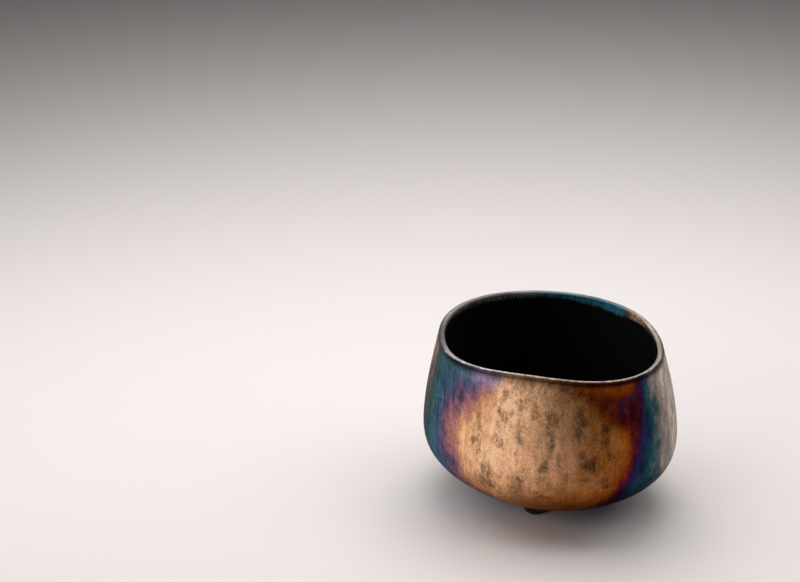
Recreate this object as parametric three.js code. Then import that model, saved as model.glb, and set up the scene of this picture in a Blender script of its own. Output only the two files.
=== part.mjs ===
// Hand-formed tea bowl: one clay body on three small feet, under an outer, a lip and an inner glaze coat.
// Millimetres, +Z up, the front is -Y. The origin is on the table, under the middle of the bowl.

import * as THREE from 'three';

// Heights above the table, with the lip's as its mean round the bowl
const HEIGHT = 83.6;
const BELLY_HEIGHT = 36.6;
const UNDERSIDE_HEIGHT = 4.7;

// Mean radius of the two plan outlines, and where the lip's middle stands along X from the belly's
const BELLY_RADIUS = 61.95;
const LIP_RADIUS = 55.5;
const LIP_SHIFT = -0.75;

// How far waves push an outline out and draw it in round the bowl, by their count of crests
const BELLY_REACH_OF_TWO = 2.35;
const BELLY_REACH_OF_THREE = 0.3;
const BELLY_REACH_OF_FOUR = 0.55;
const LIP_REACH_OF_TWO = 2.4;
const LIP_REACH_OF_THREE = 1.35;
const LIP_REACH_OF_FOUR = 1.75;
const LIP_REACH_OF_FIVE = 0.42;

// How far waves lift the lip and let it down, by their count of crests
const LIP_RISE_OF_TWO = 0.57;
const LIP_RISE_OF_THREE = 0.44;

// The waves, each with the direction of one of its crests in degrees
const BELLY = {
  radius: BELLY_RADIUS,
  waves: [
    { crests: 2, reach: BELLY_REACH_OF_TWO, direction: -45 },
    { crests: 3, reach: BELLY_REACH_OF_THREE, direction: -45 },
    { crests: 4, reach: BELLY_REACH_OF_FOUR, direction: 0 },
  ],
};
const LIP = {
  radius: LIP_RADIUS,
  waves: [
    { crests: 2, reach: LIP_REACH_OF_TWO, direction: -45 },
    { crests: 3, reach: LIP_REACH_OF_THREE, direction: -45 },
    { crests: 4, reach: LIP_REACH_OF_FOUR, direction: -45 },
    { crests: 5, reach: LIP_REACH_OF_FIVE, direction: -63 },
  ],
};
const LIP_HEIGHT_WAVES = [
  { crests: 2, reach: LIP_RISE_OF_TWO, direction: 95.5 },
  { crests: 3, reach: LIP_RISE_OF_THREE, direction: 115.6 },
];

// Curve of the wall: 2 turns like an ellipse and more is squarer; 1 leans straight in and more leans later
const BASE_SQUARENESS = 2.45;
const WALL_LEAN = 1.57;

// Thickness of the fired wall, glaze included
const LIP_THICKNESS = 3.2;
const LIP_CROWN = 1.8;
const LIP_SQUARENESS = 2.6;
const WALL_THICKNESS = 5;
const FLOOR_THICKNESS = 7;
const GLAZE_THICKNESS = 0.6;

// Feet: small pads on a circle under the belly
const FOOT_COUNT = 3;
const FOOT_CIRCLE_RADIUS = 24.9;
const FRONT_FOOT_DIRECTION = -102.4;
const FOOT_RADIUS = 6;
const FOOT_PAD_RADIUS = 4;
const FOOT_BULGE_HEIGHT = 2.6;
const FOOT_SEAT_GAP = 0.3;

// Facets
const PLAN_STEPS = 48;
const BASE_STEPS = 9;
const WALL_STEPS = 6;
const LIP_STEPS = 6;
const FOOT_PLAN_STEPS = 16;
const FOOT_SIDE_STEPS = 4;
const FOOT_TOP_STEPS = 2;

const radians = THREE.MathUtils.degToRad;
const lerp = THREE.MathUtils.lerp;

// Sum of waves round the bowl in one direction
function waveSum(waves, angle) {
  const push = ({ crests, reach, direction }) => reach * Math.cos(crests * (angle - radians(direction)));
  return waves.reduce((sum, wave) => sum + push(wave), 0);
}

// Radius of a plan outline in one direction
function planRadius(outline, angle) {
  return outline.radius + waveSum(outline.waves, angle);
}

// Quarter turn of a superellipse, from (0, 1) at share 0 to (1, 0) at share 1
function quarterTurn(share, squareness) {
  const angle = (share * Math.PI) / 2;
  const across = share < 1 ? Math.sin(angle) ** (2 / squareness) : 1;
  const along = share < 1 ? Math.cos(angle) ** (2 / squareness) : 0;
  return [across, along];
}

// How far the wall has changed from the belly's outline to the lip's at a height
function lipShare(z) {
  const rise = Math.max(0, (z - BELLY_HEIGHT) / (HEIGHT - BELLY_HEIGHT));
  return rise ** WALL_LEAN;
}

// Points of the glazed surface, from under the middle, up the outside, over the lip and down to the floor.
// reach is the share of the outline's radius, inset is what the wall's thickness takes off it.
function skinProfile() {
  const skin = [];
  const crownHeight = HEIGHT - LIP_CROWN;
  const floorHeight = UNDERSIDE_HEIGHT + FLOOR_THICKNESS;
  for (let i = 0; i <= BASE_STEPS; i++) {
    const [reach, drop] = quarterTurn(i / BASE_STEPS, BASE_SQUARENESS);
    skin.push({ reach, inset: 0, z: lerp(BELLY_HEIGHT, UNDERSIDE_HEIGHT, drop) });
  }
  for (let i = 1; i <= WALL_STEPS; i++) {
    skin.push({ reach: 1, inset: 0, z: lerp(BELLY_HEIGHT, crownHeight, i / WALL_STEPS) });
  }
  const lipStart = skin.length - 1;
  for (let i = 1; i <= LIP_STEPS; i++) {
    const inner = i > LIP_STEPS / 2;
    const [rise, out] = quarterTurn((inner ? LIP_STEPS - i : i) / (LIP_STEPS / 2), LIP_SQUARENESS);
    const inset = (LIP_THICKNESS / 2) * (inner ? 1 + out : 1 - out);
    skin.push({ reach: 1, inset, z: crownHeight + LIP_CROWN * rise });
  }
  const lipEnd = skin.length - 1;
  for (let i = 1; i <= WALL_STEPS; i++) {
    const share = i / WALL_STEPS;
    const inset = lerp(LIP_THICKNESS, WALL_THICKNESS, share);
    skin.push({ reach: 1, inset, z: lerp(crownHeight, BELLY_HEIGHT, share) });
  }
  for (let i = 1; i <= BASE_STEPS; i++) {
    const [reach, drop] = quarterTurn(1 - i / BASE_STEPS, BASE_SQUARENESS);
    skin.push({ reach, inset: WALL_THICKNESS, z: lerp(BELLY_HEIGHT, floorHeight, drop) });
  }
  return { skin, lipStart, lipEnd };
}

// Gives each point its outward direction in the section, from its neighbours on the mean outline
function addNormals(skin) {
  const mean = skin.map(({ reach, inset, z }) => {
    const radius = lerp(BELLY.radius, LIP.radius, lipShare(z));
    return new THREE.Vector2(reach * (radius - inset), z);
  });
  const mirrored = (point) => new THREE.Vector2(-point.x, point.y);
  skin.forEach((point, i) => {
    const before = i > 0 ? mean[i - 1] : mirrored(mean[1]);
    const after = i < mean.length - 1 ? mean[i + 1] : mirrored(mean[i - 1]);
    const along = after.clone().sub(before).normalize();
    point.normal = new THREE.Vector2(along.y, -along.x);
  });
}

// A point of the skin in one direction, sunk by depth
function skinPoint({ reach, inset, z, normal }, angle, depth) {
  const share = lipShare(z);
  const outline = lerp(planRadius(BELLY, angle), planRadius(LIP, angle), share);
  const radius = reach * (outline - inset) - depth * normal.x;
  const x = LIP_SHIFT * share + radius * Math.cos(angle);
  const lift = share * waveSum(LIP_HEIGHT_WAVES, angle);
  return new THREE.Vector3(x, radius * Math.sin(angle), z + lift - depth * normal.y);
}

// Turns a section into a closed body. section(angle) lists its points with the solid on their left;
// an open section starts and ends on the axis, and a ring's section closes on itself.
// Each patch folds along its shorter diagonal, so coats and clay that share points share their faces.
function sweep(section, steps, isRing = false) {
  const rows = Array.from({ length: steps }, (_, j) => section((2 * Math.PI * j) / steps));
  const count = rows[0].length;
  const positions = [];
  const ids = rows.map(() => []);
  for (let i = 0; i < count; i++) {
    const onAxis = !isRing && (i === 0 || i === count - 1);
    rows.forEach((row, j) => {
      if (!onAxis || j === 0) {
        positions.push(...row[i].toArray());
      }
      ids[j][i] = positions.length / 3 - 1;
    });
  }
  const index = [];
  const corner = (id) => new THREE.Vector3().fromArray(positions, id * 3);
  for (let j = 0; j < steps; j++) {
    const here = ids[j];
    const next = ids[(j + 1) % steps];
    for (let i = 0; i < (isRing ? count : count - 1); i++) {
      const k = (i + 1) % count;
      const [a, b, c, d] = [here[i], next[i], next[k], here[k]];
      if (a === b) {
        index.push(a, c, d);
      } else if (c === d) {
        index.push(a, b, c);
      } else if (corner(a).distanceTo(corner(c)) <= corner(b).distanceTo(corner(d))) {
        index.push(a, b, c, a, c, d);
      } else {
        index.push(a, b, d, b, c, d);
      }
    }
  }
  const geometry = new THREE.BufferGeometry();
  geometry.setAttribute('position', new THREE.Float32BufferAttribute(positions, 3));
  geometry.setIndex(index);
  geometry.computeVertexNormals();
  return geometry;
}

const { skin, lipStart, lipEnd } = skinProfile();
addNormals(skin);

function outerFace(points, angle) {
  return points.map((point) => skinPoint(point, angle, 0));
}

function clayFace(points, angle) {
  return points.map((point) => skinPoint(point, angle, GLAZE_THICKNESS));
}

function clayBody() {
  return sweep((angle) => clayFace(skin, angle), PLAN_STEPS);
}

function outerCoat() {
  const part = skin.slice(0, lipStart + 1);
  return sweep((angle) => [...outerFace(part, angle), ...clayFace(part, angle).reverse()], PLAN_STEPS);
}

function lipCoat() {
  const part = skin.slice(lipStart, lipEnd + 1);
  const section = (angle) => [...outerFace(part, angle), ...clayFace(part, angle).reverse()];
  return sweep(section, PLAN_STEPS, true);
}

function innerCoat() {
  const part = skin.slice(lipEnd);
  return sweep((angle) => [...clayFace(part, angle).reverse(), ...outerFace(part, angle)], PLAN_STEPS);
}

// Height of the glazed underside above a point of the table
function undersideAt(x, y) {
  const reach = Math.hypot(x, y) / planRadius(BELLY, Math.atan2(y, x));
  const drop = (1 - reach ** BASE_SQUARENESS) ** (1 / BASE_SQUARENESS);
  return lerp(BELLY_HEIGHT, UNDERSIDE_HEIGHT, drop);
}

// A rounded knob with a flat pad below, whose top follows the underside
function foot(number) {
  const direction = radians(FRONT_FOOT_DIRECTION + (360 / FOOT_COUNT) * number);
  const centre = new THREE.Vector2(Math.cos(direction), Math.sin(direction)).multiplyScalar(FOOT_CIRCLE_RADIUS);
  const section = (angle) => {
    const place = (radius, z) => {
      const x = centre.x + radius * Math.cos(angle);
      const y = centre.y + radius * Math.sin(angle);
      return new THREE.Vector3(x, y, z ?? undersideAt(x, y) - FOOT_SEAT_GAP);
    };
    const points = [place(0, 0)];
    for (let i = 0; i <= FOOT_SIDE_STEPS; i++) {
      const turn = (i / FOOT_SIDE_STEPS) * (Math.PI / 2);
      const radius = lerp(FOOT_PAD_RADIUS, FOOT_RADIUS, Math.sin(turn));
      points.push(place(radius, FOOT_BULGE_HEIGHT * (1 - Math.cos(turn))));
    }
    for (let i = FOOT_TOP_STEPS; i >= 0; i--) {
      points.push(place((FOOT_RADIUS * i) / FOOT_TOP_STEPS));
    }
    return points;
  };
  return sweep(section, FOOT_PLAN_STEPS);
}

function finish(color, roughness, metalness) {
  return new THREE.MeshStandardMaterial({ color, roughness, metalness });
}

const bowl = new THREE.Group();

function add(name, geometry, material) {
  const mesh = new THREE.Mesh(geometry, material);
  mesh.name = name;
  bowl.add(mesh);
}

add('clay_body', clayBody(), finish(0x3a322c, 0.9, 0));
add('outer_glaze', outerCoat(), finish(0xa07a55, 0.35, 0.7));
add('lip_glaze', lipCoat(), finish(0xb4b0a8, 0.35, 0.7));
add('inner_glaze', innerCoat(), finish(0x0c0c0d, 0.8, 0));
const footNames = ['foot_front', 'foot_back_right', 'foot_back_left'];
for (let number = 0; number < FOOT_COUNT; number++) {
  add(footNames[number] ?? `foot_${number + 1}`, foot(number), finish(0x0a0a0b, 0.15, 0));
}

const extent = new THREE.Box3().setFromObject(bowl);
const middle = extent.getCenter(new THREE.Vector3());
bowl.position.set(-middle.x, -middle.y, 0);

export default bowl;
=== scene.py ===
"""Looks of a hand-formed tea bowl in lustre, silver and black glazes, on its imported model. Metres, Z up."""
import math

import bpy
import numpy as np
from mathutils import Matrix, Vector


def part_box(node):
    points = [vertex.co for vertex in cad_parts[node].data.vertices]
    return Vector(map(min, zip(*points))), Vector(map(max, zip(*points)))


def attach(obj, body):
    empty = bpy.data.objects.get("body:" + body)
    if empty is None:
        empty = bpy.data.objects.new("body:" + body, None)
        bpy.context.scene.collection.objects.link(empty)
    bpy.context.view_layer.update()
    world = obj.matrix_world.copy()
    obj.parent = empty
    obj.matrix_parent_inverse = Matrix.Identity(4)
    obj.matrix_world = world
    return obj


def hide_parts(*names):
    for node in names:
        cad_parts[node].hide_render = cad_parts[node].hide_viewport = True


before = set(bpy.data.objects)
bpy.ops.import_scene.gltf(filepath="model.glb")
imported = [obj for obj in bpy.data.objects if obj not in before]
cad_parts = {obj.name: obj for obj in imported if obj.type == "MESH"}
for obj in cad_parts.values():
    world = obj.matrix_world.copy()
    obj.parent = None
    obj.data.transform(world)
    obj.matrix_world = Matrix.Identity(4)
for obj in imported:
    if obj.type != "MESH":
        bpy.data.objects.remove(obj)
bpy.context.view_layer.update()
MM = 0.001

# Form of the bowl, in millimetres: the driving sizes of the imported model, with a slightly thinner glaze.
# Waves push an outline out and in round the bowl, and lift the lip: (crests, reach, degrees of one crest).
HEIGHT = 83.6
BELLY_HEIGHT = 36.6
UNDERSIDE_HEIGHT = 4.7
BELLY_RADIUS = 61.95
BELLY_WAVES = [(2, 2.35, -45), (3, 0.3, -45), (4, 0.55, 0)]
LIP_RADIUS = 55.5
LIP_WAVES = [(2, 2.4, -45), (3, 1.35, -45), (4, 1.75, -45), (5, 0.42, -63)]
LIP_HEIGHT_WAVES = [(2, 0.57, 95.5), (3, 0.44, 115.6)]
LIP_SHIFT = -0.75
BASE_SQUARENESS = 2.45
WALL_LEAN = 1.57
LIP_THICKNESS = 3.2
LIP_CROWN = 1.8
LIP_SQUARENESS = 2.6
WALL_THICKNESS = 5.0
FLOOR_THICKNESS = 7.0
GLAZE_THICKNESS = 0.55
CROWN_HEIGHT = HEIGHT - LIP_CROWN
FLOOR_HEIGHT = UNDERSIDE_HEIGHT + FLOOR_THICKNESS

# Feet, in millimetres
FOOT_RADIUS = 6.0
FOOT_PAD_RADIUS = 4.0
FOOT_BULGE_HEIGHT = 2.6
FOOT_SEAT_GAP = 0.3

# Fineness of the meshes. The hidden back of a coat keeps one row in BACK_STRIDE.
ROUND_STEPS = 440
BASE_STEPS = 80
WALL_STEPS = 64
LIP_STEPS = 20
BACK_STRIDE = 6
FOOT_ROUND_STEPS = 72
FOOT_SIDE_STEPS = 18
FOOT_TOP_STEPS = 6
SHARP_EDGE_DEGREES = 50

# Waves that add up to a wall noise
NOISE_WAVES = 9
# A wall noise is given as bumps round the bowl, bumps in a metre up the wall, and seed
FACET_NOISE = (17, 6, 3)
RIDGE_NOISE = (70, 10, 5)
DENT_NOISE = (4, 12, 7)
BURNT_NOISE = (30, 20, 21)
# How the edges of the copper patches waver: millimetres, then a wall noise
FRONT_PATCH_WAVER = [(1.3, 16, 24, 15), (1.1, 50, 50, 16)]
BACK_PATCH_WAVER = [(3.0, 9, 14, 11), (2.0, 24, 30, 12)]

# Depth of the marks in the wall, in millimetres: those that the hands and the scraper left, then the flecks
FACET_DEPTH = 0.15
RIDGE_DEPTH = 0.05
DENT_DEPTH = 0.12
FLECK_DEPTH = 0.1
# The marks fade out at the lip, over millimetres, and under the middle, over a share of the way out
MARK_FADE_AT_LIP = 6.0
MARK_FADE_UNDERNEATH = 0.5

# Edge of the copper patch in front: degrees round the bowl, front at -90, and millimetres above the table
COPPER_PATCH = [
    (-106, -2), (-113, 9), (-122, 12), (-132, 16), (-139, 24), (-142.5, 34), (-145, 44), (-146, 51),
    (-144, 57), (-139, 62), (-134, 67.5), (-129, 74), (-124, 81), (-120, 87), (-116, 93), (-51, 92),
    (-50, 78), (-49.5, 70), (-49.8, 58), (-50.5, 47), (-54, 38), (-57, 29), (-64, 20), (-76, 10), (-82, -2),
]
# A smaller patch on the back
BACK_PATCH = [
    (70, 34), (66, 43), (76, 50), (82, 62), (97, 66), (103, 57), (118, 54), (122, 44), (112, 35), (108, 24),
    (90, 18), (80, 26),
]
# Millimetres along the wall in one degree
DEGREE_SPAN = 1.06

# A mark is given as degrees, millimetres up, half width and half height in millimetres, and a value.
# Cells where the film drew together, with the film's thickness there
CELLS = [
    (-57, 70.5, 3.0, 4.6, 0.42), (-61.5, 66.5, 2.4, 3.0, 0.35), (-62.5, 75, 2.4, 2.2, 0.32),
    (-54, 63.5, 2.6, 4.0, 0.37), (-66, 71, 1.6, 2.6, 0.28), (-52, 74, 2.4, 4.0, 0.36),
    (-139, 73, 1.3, 2.2, 0.38), (-137.5, 67.5, 1.8, 2.4, 0.44), (-129, 71, 1.6, 2.0, 0.42),
    (-142, 31, 3.0, 2.4, 0.48), (-136, 77.5, 6.0, 3.0, 0.54), (-131, 76, 3.6, 2.4, 0.5),
    (-44, 25, 7.0, 6.0, 0.67), (-70, 76, 4.5, 4.5, 0.15), (-65.5, 73, 2.2, 3.0, 0.26),
]
# Pools where the film burnt, with their darkness
POOLS = [
    (-52, 67, 2.3, 7.5, 0.8), (-57.5, 64.5, 2.3, 3.4, 0.75), (-54.5, 75, 2.2, 2.0, 0.4),
    (-62, 69, 1.4, 2.6, 0.5), (-64, 74, 5.0, 4.0, 0.5), (-66.5, 68.5, 2.2, 3.6, 0.45),
    (-47.5, 63, 1.2, 3.4, 0.5), (-43.2, 62, 0.9, 3.6, 0.6), (-42.5, 53.5, 1.0, 2.6, 0.6),
    (-45.5, 46, 1.3, 2.0, 0.4), (-46.5, 36.5, 1.5, 3.6, 0.7), (-40, 28.5, 1.0, 1.0, 0.8),
    (-139, 72.5, 1.2, 2.4, 0.3), (-137.5, 67, 1.6, 2.0, 0.35), (-150, 62, 1.0, 7.0, 0.3),
    (-155.5, 52, 0.9, 8.0, 0.3), (-143, 33, 2.0, 2.4, 0.35), (-160, 70, 1.0, 6.0, 0.35),
    (-30, 62, 1.0, 9.0, 0.3), (-26, 52, 0.9, 7.0, 0.3), (-33, 48, 0.9, 5.0, 0.25),
]
# Soft flecks in the copper, with their darkness
FLECKS = [
    (-112, 73.5, 1.3, 2.2, 0.6), (-114, 66, 2.1, 1.8, 0.55), (-110, 62.5, 1.4, 1.5, 0.6),
    (-107.5, 65.5, 1.3, 2.0, 0.5), (-104, 68.5, 1.6, 2.8, 0.7), (-103.5, 63.5, 1.2, 2.2, 0.5),
    (-103, 55.5, 1.2, 3.0, 0.6), (-97, 68, 2.1, 3.0, 0.6), (-127.5, 48.5, 1.3, 2.2, 0.6),
    (-124.5, 52, 1.0, 2.0, 0.5), (-113, 51, 1.7, 2.8, 0.6), (-124, 43.5, 1.6, 2.0, 0.5),
    (-120, 36, 2.3, 2.5, 0.7), (-121.5, 29, 2.9, 2.0, 0.7), (-117, 27.5, 2.3, 1.8, 0.6),
    (-101.5, 35, 2.1, 2.0, 0.6), (-90, 66.5, 1.8, 2.5, 0.8), (-87, 65.5, 1.6, 2.2, 0.7),
    (-89, 57.5, 1.4, 3.2, 0.6), (-88.5, 53.5, 1.3, 2.5, 0.6), (-92, 43, 1.7, 3.8, 0.6),
    (-76, 69, 1.8, 2.8, 0.8), (-74.5, 65, 2.0, 2.5, 0.9), (-77, 60, 2.0, 3.0, 0.9),
    (-65.5, 62, 2.0, 3.0, 0.8), (-64.5, 55, 1.7, 2.5, 0.7), (-63, 48, 1.3, 2.2, 0.8),
    (-72, 44.5, 3.9, 3.0, 1.0), (-75, 49, 2.3, 2.5, 0.7), (-85, 48, 1.6, 2.2, 0.6),
    (-66, 35.5, 2.3, 1.8, 0.8), (-64.5, 32.5, 2.1, 1.2, 0.7), (-73, 37, 2.3, 1.2, 0.7),
    (-90, 27, 3.4, 1.1, 0.6), (-83, 80.5, 2.9, 2.0, 0.8), (-76, 79, 3.4, 2.2, 0.8),
    (-82, 38, 1.8, 2.0, 0.5), (-96, 29, 2.1, 1.5, 0.5), (-70, 77, 2.6, 2.0, 0.6),
]
# Wide soft columns of shade in the copper, with their darkness
COLUMNS = [
    (-103.5, 60, 1.8, 12, 0.4), (-95, 62, 2.2, 16, 0.35), (-89, 58, 2.4, 12, 0.5), (-76.5, 62, 2.4, 11, 0.45),
    (-65.5, 58, 2.0, 10, 0.25), (-118, 30, 7.0, 5.0, 0.75), (-105, 31, 5.0, 5.0, 0.7),
    (-88, 33, 5.0, 3.5, 0.6), (-105, 77.5, 8.0, 4.0, 0.7), (-72.5, 43, 4.0, 4.0, 0.55),
    (-124.5, 48, 2.2, 9, 0.5), (-113.5, 64, 2.4, 6, 0.35), (-110, 52, 1.6, 8, 0.35), (-92, 40, 2.2, 8, 0.7),
    (-101.5, 38, 2.4, 6, 0.5), (-86, 76, 9.0, 4, 0.6), (-121, 32, 3.0, 7, 0.5),
]

# A curve is given as its corners, joined by straight lines.
# Film thickness against millimetres outside the copper: right of the front patch, left of it, and on the back
FILM_RIGHT = [
    (-14, 0), (-7, 0.06), (-2.5, 0.2), (0, 0.33), (2, 0.42), (4.2, 0.5), (7, 0.57), (9.5, 0.63), (12, 0.69),
    (15, 0.75), (18, 0.82), (24, 0.855), (31, 0.9), (75, 0.92),
]
FILM_LEFT = [
    (-16, 0), (-11, 0.09), (-8, 0.18), (-4, 0.27), (1, 0.35), (4, 0.43), (7, 0.51), (11, 0.58), (16, 0.64),
    (24, 0.69), (36, 0.74), (50, 0.85),
]
FILM_BACK = [
    (-12, 0.04), (-6, 0.14), (-2, 0.24), (0, 0.34), (3, 0.43), (6, 0.52), (10, 0.61), (16, 0.7), (26, 0.8),
    (40, 0.88), (60, 0.93),
]
# The degrees over which the bands on the left give way to those on the right
RIGHT_BANDS_FROM = (-100, -80)
# How fast the bands pass by to the right, against millimetres above the table
BAND_PACE = [(6, 0.2), (18, 0.4), (28, 0.65), (40, 0.9), (64, 1), (76, 1.5)]
# The least film low on the wall, and the heights over which it comes in
LOW_FILM = 0.13
LOW_FILM_HEIGHTS = (38, 22)
# Depth of firing against degrees on from the left end of the amber
FIRING = [(0, 0), (40, 1), (52, 1.25), (110, 1.25), (125, 1), (190, 0.45), (235, 0.5), (290, 0), (360, 0)]
FIRING_START = -108
# How much deeper the foot of the wall is coloured, partly by firing and partly as painted shade: against
# degrees, and the heights over which that comes in
LOW_FIRING_AND_SHADE = [(-270, 0.6), (-200, 0.1), (-116, 0.15), (-100, 0.65), (-88, 0.9), (30, 0.9), (90, 0.6)]
LOW_FIRING_AND_SHADE_HEIGHTS = (46, 16)
# How much deeper the top of the wall fired on the right, and where that comes in
TOP_FIRING = 0.95
TOP_FIRING_HEIGHTS = (60, 73)
TOP_FIRING_DEGREES = (-84, -68)
# How far down the dark edge under the lip reaches, in millimetres, against degrees
LIP_SHADE_REACH = [(-150, 1.8), (-135, 2.8), (-118, 3.4), (-95, 2.8), (-80, 1.8), (-48, 1.3), (-35, 2.0)]

# Zones round the bowl, in degrees: where each starts, is full, is no longer full, and ends
BACK_ZONE = (8, 40, 158, 178)
STREAKED_ZONE = (-215, -195, -134, -118)
BURNT_ZONE = (-225, -185, -171, -161)
# The next two zones are where painted shade falls: the far left of the wall, and underneath at the right
LIMB_ZONE = (-215, -195, -171, -159)
UNDERNEATH_ZONE = (-72, -56, 20, 60)
BROWN_ZONE = (-88, -75, -56, -48)
COOL_ZONE = (32, 48, 98, 114)
# The heights over which some of them come in
BURNT_HEIGHTS = (36, 74)
UNDERNEATH_HEIGHTS = (34, 16)
BROWN_HEIGHTS = (74, 79)
# How far the burnt zone burnt, from -1 for not at all to 1: the middle, and how far its noise shifts that
BURNT_MIDDLE = 0.6
BURNT_REACH = 0.9
# Painted shade: how dark it makes the wall at the far left, and underneath at the right
LIMB_SHADE = 0.5
UNDERNEATH_SHADE = 0.75
# The painted lilac sheen, a painted highlight: middle and half width, in degrees and in millimetres above the
# table
SHEEN_DEGREES = (-124, 7)
SHEEN_HEIGHTS = (79.8, 2.6)

# The teal band under the back of the lip: its reach down in millimetres, and its strength, against degrees
TEAL_REACH = [
    (38, 2.0), (46, 3.0), (54, 3.4), (62, 2.8), (69, 2.4), (78, 1.6), (86, 1.1), (100, 0.6), (120, 0.4),
]
TEAL_STRENGTH = [
    (38, 0), (43, 0.4), (48, 0.8), (52, 1.1), (58, 1), (64, 0.7), (72, 0.55), (82, 0.4), (95, 0.25), (112, 0),
]
# The gold flash beside it
GOLD_REACH = [(22, 0.8), (28, 1.2), (34, 1.9), (40, 2.4), (46, 2.2), (50, 1.2)]
GOLD_STRENGTH = [(20, 0), (27, 0.6), (32, 0.9), (37, 0.8), (42, 0.4), (48, 0)]
# The share of its reach at which a flash is gone, and at which it is full
FLASH_FADE = (1.25, 0.45)
# The tan teeth that run on along the lip to the right, and the silver that thins out inside at the left:
# strength against degrees, and the millimetres below the lip where they are gone and where they are full
TEETH_STRENGTH = [(-25, 0), (-10, 0.35), (8, 0.6), (26, 0.7), (34, 0)]
TEETH_FADE = (2.4, 0.2)
FRINGE_STRENGTH = [(-270, 0), (-260, 0.5), (-245, 0.9), (-190, 0.9), (-165, 0.6), (-150, 0)]
FRINGE_FADE = (2.2, 0)
# How bright the lip is, against degrees: partly the silver's own tone, partly painted highlight and shade round
# the lip
LIP_BRIGHTNESS = [
    (-270, 1.0), (-258, 0.9), (-246, 0.25), (-222, 0.32), (-205, 0.48), (-186, 0.26), (-174, 0.25),
    (-150, 0.68), (-130, 0.66), (-114, 0.84), (-90, 0.5), (-66, 0.66), (-54, 0.52), (-18, 0.6), (-6, 0.55),
    (8, 0.76), (30, 0.82), (42, 0.95), (54, 0.75), (66, 0.5), (78, 0.95), (90, 1.0),
]
# Sides of the lip: degrees of the middle, and the cosines away from it where the side starts and is full
LIP_FRONT = (-85, 0.2, 0.9)
LIP_WARM_SIDE = (5, 0.6, 0.95)
# The silver's edges, as shares of the lip's width from outside: round the bowl, and in front
OUTER_EDGE = (0.08, 0.36)
INNER_EDGE = (0.98, 0.84)
# How far in the fringe pushes the inner edge
FRINGE_PUSH = 0.3

# Camera: place from the middle of the bowl on the table, lens and sensor in millimetres, turns in degrees
CAMERA_PLACE = (0.915, -853.89, 457.91)
CAMERA_PITCH = 22.449
CAMERA_YAW = 5.020
CAMERA_LENS = 86.166
CAMERA_SENSOR = 36


# Form

def wave_sum(waves, angle):
    """Sum of waves round the bowl in each direction."""
    return sum(reach * np.cos(crests * (angle - math.radians(start))) for crests, reach, start in waves)


def outline(angle, share):
    """Radius of the plan outline in each direction, from the belly's at share 0 to the lip's at share 1."""
    belly = BELLY_RADIUS + wave_sum(BELLY_WAVES, angle)
    lip = LIP_RADIUS + wave_sum(LIP_WAVES, angle)
    return belly * (1 - share) + lip * share


def quarter_turn(share, squareness):
    """Quarter turn of a superellipse, from (0, 1) at share 0 to (1, 0) at share 1."""
    angle = share * math.pi / 2
    across = np.where(share < 1, np.sin(angle), 1.0) ** (2 / squareness)
    along = np.where(share < 1, np.cos(angle), 0.0) ** (2 / squareness)
    return across, along


def lip_share(z):
    """How far the wall has changed from the belly's outline to the lip's at a height."""
    return np.maximum(0, (z - BELLY_HEIGHT) / (HEIGHT - BELLY_HEIGHT)) ** WALL_LEAN


def base_arc(foot_height, inset):
    """Rows of (reach, inset, height) from the axis out to the belly."""
    reach, drop = quarter_turn(np.linspace(0, 1, BASE_STEPS + 1), BASE_SQUARENESS)
    return np.stack([reach, 0 * reach + inset, BELLY_HEIGHT + (foot_height - BELLY_HEIGHT) * drop], 1)


def skin_profile():
    """Rows of the glazed surface from under the middle, up the outside, over the lip, down to the floor."""
    wall = np.linspace(0, 1, WALL_STEPS + 1)[1:]
    lip = np.linspace(0, 2, LIP_STEPS + 1)[1:]
    outside = np.stack([0 * wall + 1, 0 * wall, BELLY_HEIGHT + (CROWN_HEIGHT - BELLY_HEIGHT) * wall], 1)
    rise, out = quarter_turn(np.where(lip > 1, 2 - lip, lip), LIP_SQUARENESS)
    inset = LIP_THICKNESS / 2 * np.where(lip > 1, 1 + out, 1 - out)
    over = np.stack([0 * lip + 1, inset, CROWN_HEIGHT + LIP_CROWN * rise], 1)
    thickness = LIP_THICKNESS + (WALL_THICKNESS - LIP_THICKNESS) * wall
    inside = np.stack([0 * wall + 1, thickness, CROWN_HEIGHT + (BELLY_HEIGHT - CROWN_HEIGHT) * wall], 1)
    below, within = base_arc(UNDERSIDE_HEIGHT, 0), base_arc(FLOOR_HEIGHT, WALL_THICKNESS)
    return np.concatenate([below, outside, over, inside, within[-2::-1]])


def section_normals(profile):
    """Outward direction of each profile row, taken on the mean outline."""
    reach, inset, z = profile.T
    share = lip_share(z)
    radius = reach * (BELLY_RADIUS * (1 - share) + LIP_RADIUS * share - inset)
    line = np.stack([radius, z], 1)
    line = np.concatenate([[[-radius[1], z[1]]], line, [[-radius[-2], z[-2]]]])
    along = line[2:] - line[:-2]
    along /= np.linalg.norm(along, axis=1)[:, None]
    return np.stack([along[:, 1], -along[:, 0]], 1)


def skin_points(profile, normals, angles, depth):
    """Points of the skin, a row for each profile row and a column for each angle, sunk by depth."""
    reach, inset, z = (column[:, None] for column in profile.T)
    share = lip_share(z)
    radius = reach * (outline(angles, share) - inset) - depth * normals[:, :1]
    x = LIP_SHIFT * share + radius * np.cos(angles)
    lift = share * wave_sum(LIP_HEIGHT_WAVES, angles)
    return np.stack(np.broadcast_arrays(x, radius * np.sin(angles), z + lift - depth * normals[:, 1:]), -1)


# Glaze patterns

def read_curve(value, curve):
    """Value of a curve, given as its corners, joined by straight lines."""
    return np.interp(value, *zip(*curve))


def smooth_step(value, low, high):
    """0 at low and 1 at high, with an easy start and end. Low may be the larger one."""
    share = np.clip((value - low) / (high - low), 0, 1)
    return share * share * (3 - 2 * share)


def zone(value, start, full, last, end):
    """1 from full to last, fading out to 0 at start and at end."""
    return smooth_step(value, start, full) * smooth_step(value, end, last)


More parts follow.
